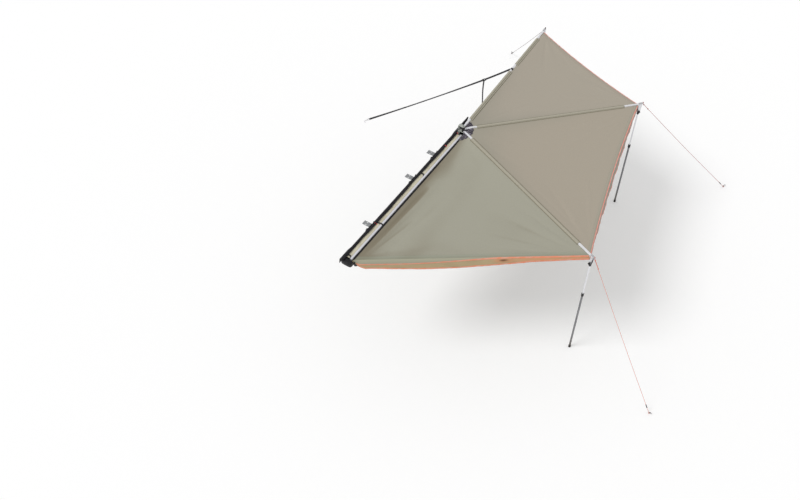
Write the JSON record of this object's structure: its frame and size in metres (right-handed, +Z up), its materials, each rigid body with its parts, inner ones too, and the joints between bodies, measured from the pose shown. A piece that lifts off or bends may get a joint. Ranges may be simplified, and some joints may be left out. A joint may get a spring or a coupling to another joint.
{
  "type": "vehicle side awning",
  "caption": "Fan-shaped vehicle side awning: long roof-rack case, arms swinging on one hub, cloth panels with valance, telescopic folding legs, guy ropes and pegs",
  "frame": {"origin": "middle of the top face of the middle roof bracket, where it meets the underside of a roof bar", "axes": "+X toward the rear of the vehicle, along the case; -Y outward from the vehicle's side; +Z up"},
  "size_m": [6.4063, 4.8273, 2.2092],
  "materials": {
    "aluminium": "satin anodised tube",
    "dull_aluminium": "dull, slightly scuffed tube",
    "extrusion": "plain extruded",
    "satin_steel": "satin plate",
    "zinc_steel": "zinc plated",
    "dark_steel": "dark, worn",
    "grey_paint": "light grey paint",
    "black_casting": "black moulding",
    "black_plastic": "black moulding",
    "black_rubber": "matt",
    "black_pvc": "coated cloth, slightly shiny",
    "black_webbing": "woven webbing",
    "white_nylon": "plain",
    "pale_cloth": "woven, matt",
    "olive_cloth": "ripstop cloth, matt",
    "orange_cord": "braided cord"
  },
  "bodies": {
    "root": {"backboard": "extrusion", "arm_1_rail": "aluminium", "liner_strip": "pale_cloth", "bag_body": "black_pvc", "bag_lid": "black_pvc", "bag_end_front": "black_pvc", "bag_end_rear": "black_pvc", "roof_bracket_1": "zinc_steel", "roof_bracket_2": "zinc_steel", "roof_bracket_3": "zinc_steel", "hub_bracket": "grey_paint", "hinge_pin": "zinc_steel", "hinge_washer_2": "white_nylon", "hinge_washer_3": "white_nylon", "hinge_washer_4": "white_nylon", "panel_1": "olive_cloth"},
    "arm_2": {"knuckle_2": "black_casting", "arm_2": "aluminium", "tip_bracket_2": "satin_steel", "guy_rope_2": "orange_cord", "peg_2": "dark_steel", "sleeve_2": "olive_cloth", "panel_2": "olive_cloth"},
    "knob_2": {"pivot_knob_2": "black_plastic"},
    "leg_2": {"leg_head_2": "black_plastic", "leg_upper_2": "aluminium"},
    "lower_leg_2": {"leg_lower_2": "dull_aluminium", "foot_2": "black_rubber"},
    "collar_2": {"leg_collar_2": "black_plastic"},
    "arm_3": {"knuckle_3": "black_casting", "arm_3": "aluminium", "tip_bracket_3": "satin_steel", "guy_rope_3": "orange_cord", "peg_3": "dark_steel", "sleeve_3": "olive_cloth", "panel_3": "olive_cloth"},
    "knob_3": {"pivot_knob_3": "black_plastic"},
    "leg_3": {"leg_head_3": "black_plastic", "leg_upper_3": "aluminium"},
    "lower_leg_3": {"leg_lower_3": "dull_aluminium", "foot_3": "black_rubber"},
    "collar_3": {"leg_collar_3": "black_plastic"},
    "arm_4": {"knuckle_4": "black_casting", "arm_4": "aluminium", "tip_bracket_4": "satin_steel", "guy_rope_4": "orange_cord", "peg_4": "dark_steel", "sleeve_4_inner": "olive_cloth", "sleeve_4_outer": "olive_cloth", "strap_short": "black_webbing", "strap_buckle": "black_plastic", "strap_long": "black_webbing", "strap_tail": "black_webbing", "strap_hook": "satin_steel"},
    "knob_4": {"pivot_knob_4": "black_plastic"},
    "leg_4": {"leg_head_4": "black_plastic", "leg_upper_4": "aluminium"},
    "lower_leg_4": {"leg_lower_4": "dull_aluminium", "foot_4": "black_rubber"},
    "collar_4": {"leg_collar_4": "black_plastic"}
  },
  "joints": [
    {"name": "arm_2_swing", "type": "hinge", "parent": "root", "child": "arm_2", "pos_m": [1, -0.165, 0.058], "axis": [0, 0, 1], "range_deg": [-65.25, 0], "deforming": ["panel_1"]},
    {"name": "arm_3_swing", "type": "hinge", "parent": "arm_2", "child": "arm_3", "pos_m": [1, -0.165, 0.085], "axis": [0, 0, 1], "range_deg": [-66.63, 0], "deforming": ["panel_2"]},
    {"name": "arm_4_swing", "type": "hinge", "parent": "arm_3", "child": "arm_4", "pos_m": [1, -0.165, 0.112], "axis": [0, 0, 1], "range_deg": [-44.34, 0], "deforming": ["panel_3"]},
    {"name": "leg_2_fold", "type": "hinge", "parent": "arm_2", "child": "leg_2", "pos_m": [0.13225, -2.408, -0.15612], "axis": [-0.9326, 0.3608, 0], "range_deg": [-92, 0]},
    {"name": "leg_2_extend", "type": "slide", "parent": "leg_2", "child": "lower_leg_2", "axis": [0, 0, -1], "range_m": [-0.53, 0.1]},
    {"name": "pivot_knob_2_turn", "type": "hinge", "parent": "arm_2", "child": "knob_2", "pos_m": [0.13225, -2.408, -0.15612], "axis": [-0.9326, 0.3608, 0], "range_deg": [0, 180]},
    {"name": "collar_2_twist", "type": "hinge", "parent": "lower_leg_2", "child": "collar_2", "pos_m": [0.13225, -2.408, -0.76], "axis": [0, 0, 1], "range_deg": [0, 90]},
    {"name": "leg_3_fold", "type": "hinge", "parent": "arm_3", "child": "leg_3", "pos_m": [2.75833, -1.80582, -0.12912], "axis": [-0.6823, -0.7311, 0], "range_deg": [-92, 0]},
    {"name": "leg_3_extend", "type": "slide", "parent": "leg_3", "child": "lower_leg_3", "axis": [0, 0, -1], "range_m": [-0.55, 0.1]},
    {"name": "pivot_knob_3_turn", "type": "hinge", "parent": "arm_3", "child": "knob_3", "pos_m": [2.75833, -1.80582, -0.12912], "axis": [-0.6823, -0.7311, 0], "range_deg": [0, 180]},
    {"name": "collar_3_twist", "type": "hinge", "parent": "lower_leg_3", "child": "collar_3", "pos_m": [2.75833, -1.80582, -0.76], "axis": [0, 0, 1], "range_deg": [0, 90]},
    {"name": "leg_4_fold", "type": "hinge", "parent": "arm_4", "child": "leg_4", "pos_m": [3.40209, -0.04668, -0.10212], "axis": [0.0492, -0.9988, 0], "range_deg": [-92, 0]},
    {"name": "leg_4_extend", "type": "slide", "parent": "leg_4", "child": "lower_leg_4", "axis": [0, 0, -1], "range_m": [-0.55, 0.1]},
    {"name": "pivot_knob_4_turn", "type": "hinge", "parent": "arm_4", "child": "knob_4", "pos_m": [3.40209, -0.04668, -0.10212], "axis": [0.0492, -0.9988, 0], "range_deg": [0, 180]},
    {"name": "collar_4_twist", "type": "hinge", "parent": "lower_leg_4", "child": "collar_4", "pos_m": [3.40209, -0.04668, -0.76], "axis": [0, 0, 1], "range_deg": [0, 90]}
  ]
}
